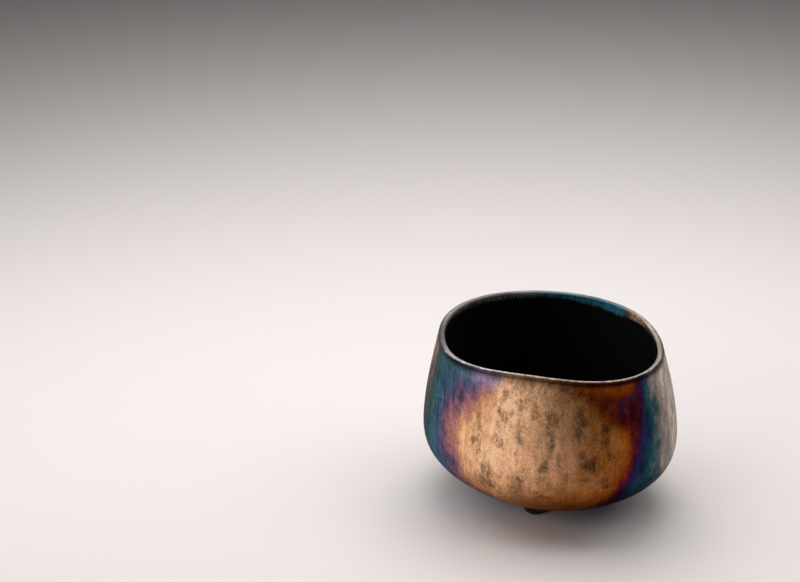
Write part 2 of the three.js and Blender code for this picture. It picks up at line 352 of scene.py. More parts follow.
def hump(value, middle, half_width):
    """1 in the middle, falling off smoothly on both sides."""
    return np.exp(-0.5 * ((value - middle) / half_width) ** 2)


def facing(angles, middle, start, full):
    """1 on the side of the bowl round a middle in degrees, 0 past the cosine where that side starts."""
    return smooth_step(np.cos(angles - math.radians(middle)), start, full)


def wall_noise(angles, heights, around, up, seed):
    """Smooth noise from about -1 to 1, of about `around` bumps round the wall and `up` bumps in a metre."""
    draw = np.random.default_rng(seed)
    total = 0 * angles + 0 * heights
    for _ in range(NOISE_WAVES):
        turns = max(1, round(around * draw.uniform(0.5, 1.5)))
        rate = up * draw.uniform(-1, 1) * 2 * math.pi * MM
        total = total + np.sin(turns * angles + rate * heights + draw.uniform(0, 2 * math.pi))
    return total / (NOISE_WAVES / 2)


def share_of(noise):
    """Noise from -1 to 1 as a share from 0 to 1."""
    return np.clip(0.5 + 0.5 * noise, 0, 1)


def waver(angles, heights, parts):
    """Sum of wall noises, each times its own millimetres."""
    return sum(reach * wall_noise(angles, heights, *noise) for reach, *noise in parts)


def front_degrees(angles):
    """Degrees from -270 to 90, unbroken round the front."""
    return (np.degrees(angles) + 270) % 360 - 270


def back_degrees(angles):
    """Degrees from -90 to 270, unbroken round the back."""
    return (np.degrees(angles) + 90) % 360 - 90


def edge_distance(degrees, heights, patch):
    """Millimetres from each point of the wall out to the edge of a patch, less than 0 inside it."""
    across, up = np.broadcast_arrays(degrees * DEGREE_SPAN, heights)
    corners = np.array([(a * DEGREE_SPAN, z) for a, z in patch], float)
    nearest = np.full(across.shape, np.inf)
    inside = np.zeros(across.shape, bool)
    for start, end in zip(corners, np.roll(corners, -1, 0)):
        side = end - start
        share = ((across - start[0]) * side[0] + (up - start[1]) * side[1]) / (side @ side)
        share = np.clip(share, 0, 1)
        gap = np.hypot(across - start[0] - share * side[0], up - start[1] - share * side[1])
        nearest = np.minimum(nearest, gap)
        if start[1] != end[1]:
            crosses = (start[1] > up) != (end[1] > up)
            meets = start[0] + (up - start[1]) / (end[1] - start[1]) * side[0]
            inside ^= crosses & (across < meets)
    return np.where(inside, -nearest, nearest)


def spots(angles, heights, marks):
    """Closeness of each point of the wall to each mark, from 0 to 1, with the mark's value."""
    front = front_degrees(angles)
    for degrees, height, half_width, half_height, value in marks:
        gap = np.hypot((front - degrees) * DEGREE_SPAN / half_width, (heights - height) / half_height)
        yield hump(gap, 0, 1), value


def darkest(angles, heights, marks):
    """Darkness of the darkest mark at each point of the wall, from 0 to 1."""
    dark = 0 * angles + 0 * heights
    for closeness, value in spots(angles, heights, marks):
        dark = np.maximum(dark, value * closeness)
    return dark


def front_film(angles, heights):
    """Thickness of the lustre film in front and at the sides."""
    front = front_degrees(angles)
    edge = edge_distance(front, heights, COPPER_PATCH) + waver(angles, heights, FRONT_PATCH_WAVER)
    pace = np.where(edge > 0, read_curve(heights, BAND_PACE), 1)
    right = read_curve(edge * pace, FILM_RIGHT)
    left = read_curve(edge, FILM_LEFT)
    thickness = left + (right - left) * smooth_step(front, *RIGHT_BANDS_FROM)
    thickness = np.maximum(thickness, LOW_FILM * smooth_step(heights, *LOW_FILM_HEIGHTS))
    for closeness, value in spots(angles, heights, CELLS):
        thickness = thickness + (value - thickness) * closeness
    return thickness


def film(angles, heights):
    """Thickness of the lustre film, from 0 for copper over crimson, blue, teal and silver to 1 for tan."""
    ahead = front_film(angles, heights)
    back = back_degrees(angles)
    edge = edge_distance(back, heights, BACK_PATCH) + waver(angles, heights, BACK_PATCH_WAVER)
    behind = zone(back, *BACK_ZONE)
    return ahead * (1 - behind) + read_curve(edge, FILM_BACK) * behind


# Meshes

def closed_shell(name, rows, on_axis):
    """A closed mesh from rows of points round the axis.

    With on_axis the first and the last row are one point each. Otherwise the last row joins the first.
    """
    steps = rows.shape[1]
    points = rows[1:-1].reshape(-1, 3) if on_axis else rows.reshape(-1, 3)
    ids = np.arange(len(points)).reshape(-1, steps)
    lower, upper = (ids[:-1], ids[1:]) if on_axis else (ids, np.roll(ids, -1, 0))
    quads = np.stack([lower, np.roll(lower, -1, 1), np.roll(upper, -1, 1), upper], -1).reshape(-1, 4)
    faces = quads.tolist()
    if on_axis:
        points = np.concatenate([points, rows[:1, 0], rows[-1:, 0]])
        first, last = len(points) - 2, len(points) - 1
        faces += [[first, int(b), int(a)] for a, b in zip(ids[0], np.roll(ids[0], -1))]
        faces += [[int(a), int(b), last] for a, b in zip(ids[-1], np.roll(ids[-1], -1))]
    mesh = bpy.data.meshes.new(name)
    mesh.from_pydata((points * MM).tolist(), [], faces)
    mesh.polygons.foreach_set("use_smooth", [True] * len(mesh.polygons))
    mesh.set_sharp_from_angle(angle=math.radians(SHARP_EDGE_DEGREES))
    piece = bpy.data.objects.new(name, mesh)
    bpy.context.scene.collection.objects.link(piece)
    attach(piece, "root")
    return piece


def add_field(piece, name, values):
    """Keeps one number for each vertex of a piece, for its material to read."""
    layer = piece.data.attributes.new(name, "FLOAT", "POINT")
    layer.data.foreach_set("value", np.asarray(values, np.float32))


def vertex_places(piece):
    """Each vertex in millimetres from the belly's axis."""
    points = np.empty(len(piece.data.vertices) * 3)
    piece.data.vertices.foreach_get("co", points)
    return (points.reshape(-1, 3) / MM - AXIS).T


def wall_places(piece):
    """Angle of each vertex round the belly's axis, and its height with the lip's waves taken out."""
    x, y, z = vertex_places(piece)
    angles = np.arctan2(y, x)
    return angles, z - lip_share(z) * wave_sum(LIP_HEIGHT_WAVES, angles)


def lip_inset(piece):
    """How far each vertex stands in from the outer edge of the lip, in millimetres."""
    x, y, z = vertex_places(piece)
    share = lip_share(wall_places(piece)[1])
    x = x - LIP_SHIFT * share
    return outline(np.arctan2(y, x), share) - np.hypot(x, y)


PROFILE = skin_profile()
NORMALS = section_normals(PROFILE)
LIP_START = BASE_STEPS + WALL_STEPS
LIP_END = LIP_START + LIP_STEPS
ANGLES = np.linspace(0, 2 * math.pi, ROUND_STEPS, endpoint=False)


def find_axis():
    """Place of the belly's axis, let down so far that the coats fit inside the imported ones."""
    low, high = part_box("outer_glaze")
    points = skin_points(PROFILE[: LIP_START + 1], NORMALS[: LIP_START + 1], ANGLES, 0.0)
    middle = (points.max((0, 1)) + points.min((0, 1))) / 2
    top = skin_points(PROFILE, NORMALS, ANGLES, 0.0)[..., 2].max()
    down = min(0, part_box("lip_glaze")[1].z / MM - top)
    return np.array([(low.x + high.x) / 2 / MM - middle[0], (low.y + high.y) / 2 / MM - middle[1], down])


AXIS = find_axis()


def coat(name, start, end, depth, replaced):
    """One glaze coat: its face over the profile rows from start to end, closed by a back one glaze deep."""
    profile, normals = PROFILE[start : end + 1], NORMALS[start : end + 1]
    face = skin_points(profile, normals, ANGLES, depth) + AXIS
    back = skin_points(profile, normals, ANGLES, GLAZE_THICKNESS)[::-1] + AXIS
    kept = sorted({*range(0, len(back), BACK_STRIDE), len(back) - 1})
    inner = end == len(PROFILE) - 1
    rows = [back[kept], face] if inner else [face, back[kept]]
    piece = closed_shell(name, np.concatenate(rows), on_axis=start == 0 or inner)
    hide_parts(replaced)
    return piece


def wall_depth(profile):
    """Depth in millimetres of the marks in the outer wall, fading out at the lip and under the middle."""
    reach, _, z = (column[:, None] for column in profile.T)
    fade = np.clip((CROWN_HEIGHT - z) / MARK_FADE_AT_LIP, 0, 1) * np.clip(reach / MARK_FADE_UNDERNEATH, 0, 1)
    facets = FACET_DEPTH * share_of(wall_noise(ANGLES, z, *FACET_NOISE))
    ridges = RIDGE_DEPTH * share_of(wall_noise(ANGLES, z, *RIDGE_NOISE))
    dents = DENT_DEPTH * share_of(wall_noise(ANGLES, z, *DENT_NOISE))
    return fade * (facets + ridges + dents + FLECK_DEPTH * darkest(ANGLES, z, FLECKS))


# Fields that the materials read

def add_wall_fields(piece):
    """Keeps the lustre's film, firing, marks, burnt pools with painted shade, and a painted sheen on a piece.
    """
    angles, heights = wall_places(piece)
    front = front_degrees(angles)
    fired = read_curve((np.degrees(angles) - FIRING_START) % 360, FIRING)
    # Low on the wall the deeper colour is partly painted shade
    low = smooth_step(heights, *LOW_FIRING_AND_SHADE_HEIGHTS) * read_curve(front, LOW_FIRING_AND_SHADE)
    top = smooth_step(heights, *TOP_FIRING_HEIGHTS) * smooth_step(front, *TOP_FIRING_DEGREES)
    burnt = zone(front, *BURNT_ZONE) * smooth_step(heights, *BURNT_HEIGHTS)
    burnt = burnt * share_of(BURNT_MIDDLE + BURNT_REACH * wall_noise(angles, heights, *BURNT_NOISE))
    # Painted shade darkens the far left of the wall and the wall underneath at the right; the pools are burnt
    # glaze
    limb = zone(front, *LIMB_ZONE) * (1 - burnt)
    underneath = zone(front, *UNDERNEATH_ZONE) * smooth_step(heights, *UNDERNEATH_HEIGHTS)
    pools = darkest(angles, heights, POOLS)
    lit = (1 - LIMB_SHADE * limb) * (1 - UNDERNEATH_SHADE * underneath) * (1 - pools)
    thickness = film(angles, heights)
    add_field(piece, "film", thickness + (1 - thickness) * burnt)
    add_field(piece, "deep", 1 - (1 - fired) * (1 - low) * (1 - TOP_FIRING * top))
    add_field(piece, "flecks", darkest(angles, heights, FLECKS))
    add_field(piece, "columns", darkest(angles, heights, COLUMNS))
    add_field(piece, "painted_shade_and_burns", 1 - lit)
    # A painted highlight: the lilac sheen under the lip at the front left
    add_field(piece, "sheen", hump(front, *SHEEN_DEGREES) * hump(heights, *SHEEN_HEIGHTS))
    add_field(piece, "brown", zone(front, *BROWN_ZONE) * smooth_step(heights, *BROWN_HEIGHTS))
    add_field(piece, "streaked", zone(front, *STREAKED_ZONE))
    add_field(piece, "below_lip", (CROWN_HEIGHT - heights) / read_curve(front, LIP_SHADE_REACH))


def add_flash_fields(piece):
    """Keeps the strength of the flash of teal and of gold inside the back of the lip on a piece."""
    angles, heights = wall_places(piece)
    degrees = np.degrees(angles)
    for name, reach, strength in (("teal", TEAL_REACH, TEAL_STRENGTH), ("gold", GOLD_REACH, GOLD_STRENGTH)):
        depth = (CROWN_HEIGHT - heights) / read_curve(degrees, reach)
        add_field(piece, name, read_curve(degrees, strength) * smooth_step(depth, *FLASH_FADE))


def add_lip_fields(piece):
    """Keeps the place across the lip, the silver's edges, its tints, and its brightness with painted highlight
    and shade on a piece.
    """
    angles, _ = wall_places(piece)
    front = front_degrees(angles)
    ahead = facing(angles, *LIP_FRONT)
    outer = OUTER_EDGE[0] + (OUTER_EDGE[1] - OUTER_EDGE[0]) * ahead
    inner = INNER_EDGE[0] + (INNER_EDGE[1] - INNER_EDGE[0]) * ahead
    add_field(piece, "across", lip_inset(piece) / LIP_THICKNESS)
    add_field(piece, "outer_edge", outer)
    add_field(piece, "inner_edge", inner + FRINGE_PUSH * read_curve(front, FRINGE_STRENGTH))
    add_field(piece, "warm", facing(angles, *LIP_WARM_SIDE))
    add_field(piece, "cool", zone(np.degrees(angles), *COOL_ZONE))
    add_field(piece, "bright", read_curve(front, LIP_BRIGHTNESS))


def add_lining_fields(piece):
    """Keeps the strength of the tan teeth and of the silver fringe under the lip on a piece."""
    angles, heights = wall_places(piece)
    below = CROWN_HEIGHT - heights
    teeth = read_curve(np.degrees(angles), TEETH_STRENGTH)
    fringe = read_curve(front_degrees(angles), FRINGE_STRENGTH)
    add_field(piece, "teeth", teeth * smooth_step(below, *TEETH_FADE))
    add_field(piece, "fringe", fringe * smooth_step(below, *FRINGE_FADE))


# Materials

# The range of a noise that is spread out, and a narrower one for more contrast
USUAL = (0.3, 0.7)
NARROW = (0.35, 0.65)


class Recipe:
    """A material's node tree, built up from values and the outputs of other nodes."""

    def __init__(self, name):
        self.material = bpy.data.materials.new(name)
        self.material.use_nodes = True
        self.tree = self.material.node_tree
        self.shader = self.tree.nodes["Principled BSDF"]

    def put(self, socket, value):
        """Links a socket to an output, or gives it a number or a colour."""
        if isinstance(value, bpy.types.NodeSocket):
            self.tree.links.new(value, socket)
        elif socket.type == "RGBA":
            socket.default_value = (*value, 1)
        else:
            socket.default_value = value

    def add(self, kind, inputs, output=0, **settings):
        """Adds a node and gives one of its outputs."""
        made = self.tree.nodes.new(kind)
        for key, value in settings.items():
            setattr(made, key, value)
        for key, value in inputs.items():
            self.put(made.inputs[key], value)
        return made.outputs[output]

    def place(self, stretch):
        """The point's own place in the bowl, in millimetres, stretched."""
        place = self.add("ShaderNodeTexCoord", {}, "Object")
        scale = [v / MM for v in stretch]
        return self.add("ShaderNodeVectorMath", {0: place, 1: scale}, operation="MULTIPLY")

    def field(self, name):
        """The number that a piece keeps for each vertex under a name."""
        return self.add("ShaderNodeAttribute", {}, "Fac", attribute_name=name)

    def math(self, operation, a, b, clamp=False):
        """Two numbers put together. With clamp the result stays from 0 to 1."""
        return self.add("ShaderNodeMath", {0: a, 1: b}, operation=operation, use_clamp=clamp)

    def plus(self, a, b, clamp=False):
        return self.math("ADD", a, b, clamp)

    def minus(self, a, b, clamp=False):
        return self.math("SUBTRACT", a, b, clamp)

    def times(self, a, b, clamp=False):
        return self.math("MULTIPLY", a, b, clamp)

    def larger(self, a, b):
        return self.math("MAXIMUM", a, b)

    def smaller(self, a, b):
        return self.math("MINIMUM", a, b)

    def noise(self, size, stretch=(1, 1, 1), detail=3.0, roughness=0.5):
        """Noise whose bumps are about `size` millimetres wide."""
        inputs = {"Vector": self.place(stretch), "Scale": 1 / size, "Detail": detail, "Roughness": roughness}
        return self.add("ShaderNodeTexNoise", inputs)

    def span(self, value, low, high, to_low=0.0, to_high=1.0):
        """Spreads the range from low to high over the range from to_low to to_high."""
        inputs = {"Value": value, "From Min": low, "From Max": high, "To Min": to_low, "To Max": to_high}
        return self.add("ShaderNodeMapRange", inputs)

    def vary(self, noise, low, high, over=USUAL):
        """A noise that varies from low to high."""
        return self.span(noise, *over, low, high)

    def ramp(self, value, stops):
        """Colour at a value, from stops of (value, colour)."""
        made = self.tree.nodes.new("ShaderNodeValToRGB")
        self.put(made.inputs[0], value)
        ramp = made.color_ramp
        while len(ramp.elements) < len(stops):
            ramp.elements.new(0.5)
        for element, (place, color) in zip(ramp.elements, stops):
            element.position = place
            element.color = (*color, 1)
        return made.outputs[0]

    def mix(self, factor, a, b):
        """Colour a where the factor is 0 and colour b where it is 1."""
        made = self.tree.nodes.new("ShaderNodeMix")
        made.data_type = "RGBA"
        for number, value in ((0, factor), (6, a), (7, b)):
            self.put(made.inputs[number], value)
        return made.outputs[2]

    def dim(self, color, factor):
        """A colour times a number."""
        return self.add("ShaderNodeVectorMath", {0: color, "Scale": factor}, operation="SCALE")

    def sway(self, color, share, change):
        """A colour whose brightness changes, up or down, over a share of it."""
        return self.dim(color, self.plus(self.times(share, change), 1))

    def finish(self, piece, color, roughness, metallic, bump, bump_depth, specular=0.5):
        """Plugs the shader in and gives the piece the material. bump_depth is in millimetres."""
        shader = self.shader
        shader.inputs["Specular IOR Level"].default_value = specular
        self.put(shader.inputs["Base Color"], color)
        self.put(shader.inputs["Roughness"], roughness)
        self.put(shader.inputs["Metallic"], metallic)
        inputs = {"Height": bump, "Distance": bump_depth * MM, "Strength": 1.0}
        self.put(shader.inputs["Normal"], self.add("ShaderNodeBump", inputs, "Normal"))
        piece.data.materials.clear()
        piece.data.materials.append(self.material)


# Colours of the lustre by film thickness, where it is pale and where it fired deep
PALE_FILM = [
    (0.00, (0.93, 0.55, 0.32)),
    (0.12, (0.82, 0.42, 0.20)),
    (0.24, (0.44, 0.195, 0.165)),
    (0.34, (0.29, 0.13, 0.15)),
    (0.43, (0.17, 0.10, 0.17)),
    (0.52, (0.09, 0.10, 0.19)),
    (0.61, (0.045, 0.13, 0.20)),
    (0.70, (0.05, 0.13, 0.14)),
    (0.80, (0.08, 0.12, 0.12)),
    (0.90, (0.13, 0.115, 0.10)),
    (1.00, (0.55, 0.34, 0.24)),
]
DEEP_FILM = [
    (0.00, (0.285, 0.106, 0.023)),
    (0.12, (0.24, 0.063, 0.004)),
    (0.24, (0.14, 0.023, 0.008)),
    (0.34, (0.095, 0.010, 0.012)),
    (0.42, (0.045, 0.007, 0.035)),
    (0.50, (0.022, 0.016, 0.070)),
    (0.57, (0.018, 0.040, 0.095)),
    (0.64, (0.014, 0.060, 0.084)),
    (0.70, (0.042, 0.088, 0.100)),
    (0.76, (0.125, 0.140, 0.142)),
    (0.82, (0.26, 0.228, 0.202)),
    (0.90, (0.62, 0.54, 0.465)),
    (1.00, (0.30, 0.24, 0.19)),
]
# Other colours
DARK_FLECK = (0.018, 0.012, 0.009)
DARK_EDGE = (0.012, 0.010, 0.010)
EDGE_TINT = (0.45, 0.45, 0.45)
LILAC = (0.44, 0.43, 0.68)
REDDISH_BROWN = (0.26, 0.045, 0.003)
BRIGHT_GOLD = (0.95, 0.58, 0.26)
SILVER = (0.66, 0.60, 0.58)
WARM_SILVER = (0.62, 0.51, 0.43)
COOL_SILVER = (0.20, 0.23, 0.27)
TEAL_BLUE = (0.02, 0.23, 0.38)
TEAL_GREEN = (0.07, 0.34, 0.38)
FLASH_BROWN = (0.20, 0.07, 0.04)
FLASH_GOLD = (0.60, 0.44, 0.33)
MATTE_BLACK = (0.0022, 0.0022, 0.0026)
TEETH_TAN = (0.36, 0.24, 0.18)
FRINGE_GREY = (0.34, 0.31, 0.30)
GLOSS_BLACK = (0.002, 0.002, 0.003)
GLOSS_BROWN = (0.012, 0.010, 0.008)
DARK_CLAY = (0.03, 0.024, 0.02)
PALE_CLAY = (0.06, 0.048, 0.04)

# Noises of the lustre: width of the bumps in millimetres, stretch, detail and roughness
WALL_NOISES = {
    "streaks": (2.4, (1, 1, 0.16), 4, 0.6),
    "fine_streaks": (1.1, (1, 1, 0.12), 3, 0.6),
    "bands": (5.0, (1, 1, 0.1), 2, 0.5),
    "clouds": (6.0, (1, 1, 0.6), 5, 0.65),
    "blots": (3.0, (1, 1, 0.6), 5, 0.7),
    "specks": (1.4, (1, 1, 0.8), 4, 0.7),
    "grain": (0.7, (1, 1, 1), 2, 0.7),
}
# The film wavers more where the bands start and less where they end: thickness from and to, waver from and to
WAVER_RISING = (0.3, 0.55, 0.03, 0.065)
WAVER_FALLING = (0.74, 0.86, 0.065, 0.02)
# Waver of the film by the fine streaks on the left, and of the firing by the clouds
FILM_STREAKS = 0.07
FIRING_CLOUDS = 0.16
# Film thickness where copper is gone and where it is full, and where silver starts and where it is full
COPPER_END = (0.34, 0.2)
SILVER_START = (0.74, 0.84)
# Strength of the reddish brown under the lip
BROWN_STRENGTH = 0.85
# Columns: their strength at both ends of the blots, and the brightness outside and inside them
COLUMN_BLOTS = (0.3, 1.6)
COLUMN_LIGHT = (1.12, 0.5)
# Flecks: how far blots and specks shift their edge, from where to where it runs, and how dark it gets inside
FLECK_BLOTS = 0.3
FLECK_SPECKS = 0.2
FLECK_EDGE = (0.15, 0.85)
FLECK_STRENGTH = 0.9
FLECK_TINT = 0.25
FLECK_LIGHT = 0.32
# Small flecks stand where the specks are high and the blots low
SMALL_FLECK_SPECKS = (0.55, 0.68)
SMALL_FLECK_BLOTS = (0.6, 0.42)
SMALL_FLECK_STRENGTH = 0.3
# Golden glints stand where the blots and the grain are high
GLINT_BLOTS = (0.46, 0.64)
GLINT_GRAIN = (0.5, 0.62)
GLINT_FADE_WITH_FIRING = 0.75
GLINT_STRENGTH = 0.65
# Brightness at both ends of a noise
STREAK_LIGHT = (0.9, 1.1)
BAND_LIGHT = (0.86, 1.14)
BLOT_LIGHT = (1.32, 0.68)
GRAIN_LIGHT = (0.72, 1.28)
# Change of brightness at both ends of a noise: in the silver, outside the copper, and on the left
SILVER_STREAKS = (-0.22, 0.22)
BANDED_SPECKS = (-0.3, 0.3)
LEFT_STREAKS = (-0.35, 0.4)
# Strength of the painted lilac sheen, and of the painted shade with the burns, at both ends of a noise
SHEEN_CLOUDS = (1.3, 0.3)
SHEEN_STRENGTH = 0.85
SHADE_SPECKS = (0.7, 1.3)
# Dark edge under the lip: how far the streaks shift it, and the shares of its reach where it ends and is full
LIP_SHADE_STREAKS = 0.15
LIP_SHADE_SPAN = (1, 0.1)
LIP_SHADE_STRENGTH = 0.62
# The lustre's roughness at both ends of the grain, and how high its streaks stand, in heights of the grain
LUSTRE_ROUGHNESS = (0.34, 0.5)
STREAK_RELIEF = 1.5

# Strength of the flash at both ends of its clouds and of its streaks, and the strengths of the gold over
# which its brown rim and its golden middle come in
FLASH_CLOUDS = (0.2, 1.9)
FLASH_STREAKS = (0.4, 1.6)
GOLD_RIM = (0, 0.35)
GOLD_MIDDLE = (0.25, 0.9)

# In shares of the lip's width: how far the clouds shift the silver's edges, and how soft the edges are
EDGE_CLOUDS = 0.11
OUTER_EDGE_SPAN = (-0.08, 0.06)
INNER_EDGE_SPAN = (-0.12, 0.08)
# Brightness of the lustre outside the silver, and of the silver at both ends of its clouds and of its grain
LUSTRE_ON_LIP = 0.15
LIP_CLOUD_LIGHT = (0.72, 1.28)
LIP_GRAIN_LIGHT = (0.8, 1.2)
# The silver's roughness at both ends of its clouds
LIP_ROUGHNESS = (0.38, 0.55)
# From where to where across the lip the flash and the lining's roughness come in, and what they come to
FLASH_ON_LIP = (0.55, 0.95, 0, 0.8)
ROUGHNESS_INSIDE = (0.5, 0.8, 0, 0.85)

# Spans of the streaks over which teeth and fringe come in
TEETH_STREAKS = (0.42, 0.6)
FRINGE_STREAKS = (0.4, 0.62)
# How metallic they and the flash are, and the roughness of the lining at both ends of its grain
LINING_METALLIC = 0.85
LINING_ROUGHNESS = (0.75, 0.9)

# The feet's roughness at both ends of their clouds, and the span of the clouds from black to brown
FOOT_ROUGHNESS = (0.05, 0.1)
FOOT_POOLING = (0.35, 0.7)
CLAY_ROUGHNESS = (0.8, 0.95)


def film_color(mix, noise):
    """Colour of the film, and with it the film's wavering thickness and its depth of firing, which low on the
    wall is partly painted shade.
    """
    even = mix.field("film")
    reach = mix.smaller(mix.span(even, *WAVER_RISING), mix.span(even, *WAVER_FALLING))
    shift = mix.plus(mix.vary(noise["blots"], -1, 1), mix.vary(noise["clouds"], -1, 1))
    streaks = mix.vary(noise["fine_streaks"], -FILM_STREAKS, FILM_STREAKS, NARROW)
    thickness = mix.plus(even, mix.times(shift, reach))
    thickness = mix.plus(thickness, mix.times(mix.field("streaked"), streaks), clamp=True)
    clouds = mix.vary(noise["clouds"], FIRING_CLOUDS, -FIRING_CLOUDS)
    deep = mix.plus(mix.field("deep"), clouds, clamp=True)
    color = mix.mix(deep, mix.ramp(thickness, PALE_FILM), mix.ramp(thickness, DEEP_FILM))
    return color, thickness, deep


def add_flecks(mix, noise, color, copper):
    """Lays soft columns and dark flecks over a colour, the flecks only in the copper."""
    columns = mix.times(mix.field("columns"), mix.vary(noise["blots"], *COLUMN_BLOTS, NARROW), clamp=True)
    color = mix.dim(color, mix.span(columns, 0, 1, *COLUMN_LIGHT))
    blots = mix.vary(noise["blots"], -FLECK_BLOTS, FLECK_BLOTS)
    specks = mix.vary(noise["specks"], -FLECK_SPECKS, FLECK_SPECKS)
    flecks = mix.span(mix.plus(mix.field("flecks"), mix.plus(blots, specks)), *FLECK_EDGE)
    high_specks = mix.span(noise["specks"], *SMALL_FLECK_SPECKS)
    low_blots = mix.span(noise["blots"], *SMALL_FLECK_BLOTS)
    small = mix.times(high_specks, low_blots)
    dark = mix.larger(mix.times(flecks, FLECK_STRENGTH), mix.times(small, SMALL_FLECK_STRENGTH))
    dark = mix.times(dark, copper)
    color = mix.mix(mix.times(dark, FLECK_TINT), color, DARK_FLECK)
    return mix.dim(color, mix.span(dark, 0, 1, 1, FLECK_LIGHT))


def add_glints(mix, noise, color, copper, deep):
    """Lays golden specks over a colour in the paler copper."""
    glints = mix.times(mix.span(noise["blots"], *GLINT_BLOTS), mix.span(noise["grain"], *GLINT_GRAIN))
    share = mix.minus(copper, mix.times(deep, GLINT_FADE_WITH_FIRING), clamp=True)
    return mix.mix(mix.times(mix.times(glints, share), GLINT_STRENGTH), color, BRIGHT_GOLD)


def add_unevenness(mix, noise, color, copper, thickness):
    """Darkens and lightens a colour by streaks, bands, blots and specks."""
    silvered = mix.span(thickness, *SILVER_START)
    color = mix.sway(color, silvered, mix.vary(noise["streaks"], *SILVER_STREAKS, NARROW))
    color = mix.dim(color, mix.vary(noise["streaks"], *STREAK_LIGHT))
    color = mix.dim(color, mix.vary(noise["bands"], *BAND_LIGHT, NARROW))
    color = mix.dim(color, mix.vary(noise["blots"], *BLOT_LIGHT))
    color = mix.sway(color, mix.minus(1, copper), mix.vary(noise["specks"], *BANDED_SPECKS, NARROW))
    streaked = mix.minus(mix.field("streaked"), copper, clamp=True)
    return mix.sway(color, streaked, mix.vary(noise["fine_streaks"], *LEFT_STREAKS, NARROW))


def wall_color(mix):
    """Colour of the lustre, and its grain and streaks for the bump."""
    noise = {name: mix.noise(*settings) for name, settings in WALL_NOISES.items()}
    color, thickness, deep = film_color(mix, noise)
    copper = mix.span(thickness, *COPPER_END)
    color = mix.mix(mix.times(mix.field("brown"), BROWN_STRENGTH), color, REDDISH_BROWN)
    color = add_flecks(mix, noise, color, copper)
    color = add_glints(mix, noise, color, copper, deep)
    color = add_unevenness(mix, noise, color, copper, thickness)
    # Painted highlight: the lilac sheen under the lip at the front left
    sheen = mix.times(mix.field("sheen"), mix.vary(noise["clouds"], *SHEEN_CLOUDS, NARROW), clamp=True)
    color = mix.mix(mix.times(sheen, SHEEN_STRENGTH), color, LILAC)
    # Painted shade at the far left and underneath at the right, together with the burnt pools
    painted_shade_and_burns = mix.times(mix.field("painted_shade_and_burns"), mix.vary(noise["specks"], *SHADE_SPECKS), clamp=True)
    color = mix.dim(color, mix.minus(1, painted_shade_and_burns))
    color = mix.dim(color, mix.vary(noise["grain"], *GRAIN_LIGHT))
    return color, noise["grain"], noise["streaks"]


def lustre(piece):
    """Copper lustre that runs through crimson and blue to silver."""
    add_wall_fields(piece)
    mix = Recipe("lustre_glaze")
    color, grain, streaks = wall_color(mix)
    below = mix.plus(mix.field("below_lip"), mix.vary(streaks, -LIP_SHADE_STREAKS, LIP_SHADE_STREAKS))
    color = mix.mix(mix.span(below, *LIP_SHADE_SPAN, 0, LIP_SHADE_STRENGTH), color, DARK_EDGE)
    raised = mix.plus(grain, mix.times(streaks, STREAK_RELIEF))
    mix.put(mix.shader.inputs["Specular Tint"], EDGE_TINT)
    roughness = mix.vary(grain, *LUSTRE_ROUGHNESS)
    mix.finish(piece, color, roughness, metallic=0.97, bump=raised, bump_depth=0.12, specular=0.2)


def flash_color(mix, color, share):
    """Lays the flash over a share of a colour. Gives the new colour and how much of it is flash."""
    clouds = mix.noise(3.2, detail=5, roughness=0.7)
    streaks = mix.noise(1.2, (1, 1, 0.25), detail=3, roughness=0.6)
    ragged = mix.times(mix.vary(clouds, *FLASH_CLOUDS, NARROW), mix.vary(streaks, *FLASH_STREAKS))
    ragged = mix.times(ragged, share)
    teal = mix.times(mix.field("teal"), ragged, clamp=True)
    gold = mix.times(mix.field("gold"), ragged, clamp=True)
    color = mix.mix(teal, color, mix.mix(mix.span(streaks, *NARROW), TEAL_BLUE, TEAL_GREEN))
    color = mix.mix(mix.span(gold, *GOLD_RIM), color, FLASH_BROWN)
    color = mix.mix(mix.span(gold, *GOLD_MIDDLE), color, FLASH_GOLD)
    return color, mix.larger(teal, gold)


def silver(piece):
    """Silvery crest of the lip between the lustre outside and the black inside."""
    add_wall_fields(piece)
    add_flash_fields(piece)
    add_lip_fields(piece)
    mix = Recipe("silver_glaze")
    clouds = mix.noise(2.2, detail=5, roughness=0.7)
    grain = mix.noise(0.6, detail=2, roughness=0.7)
    color = mix.mix(mix.field("warm"), SILVER, WARM_SILVER)
    color = mix.mix(mix.field("cool"), color, COOL_SILVER)
    # Brightness round the lip, partly the silver's own tone and partly painted highlight and shade
    color = mix.dim(color, mix.field("bright"))
    across = mix.plus(mix.field("across"), mix.vary(clouds, -EDGE_CLOUDS, EDGE_CLOUDS))
    outside = mix.minus(mix.field("outer_edge"), across)
    inside = mix.minus(across, mix.field("inner_edge"))
    wall = mix.dim(wall_color(mix)[0], LUSTRE_ON_LIP)
    color = mix.mix(mix.span(outside, *OUTER_EDGE_SPAN), color, wall)
    color = mix.mix(mix.span(inside, *INNER_EDGE_SPAN), color, DARK_EDGE)
    color, _ = flash_color(mix, color, mix.span(across, *FLASH_ON_LIP))
    color = mix.dim(color, mix.vary(clouds, *LIP_CLOUD_LIGHT))
    color = mix.dim(color, mix.vary(grain, *LIP_GRAIN_LIGHT))
    roughness = mix.larger(mix.vary(clouds, *LIP_ROUGHNESS), mix.span(across, *ROUGHNESS_INSIDE))
    mix.finish(piece, color, roughness, metallic=0.9, bump=grain, bump_depth=0.05, specular=0.2)


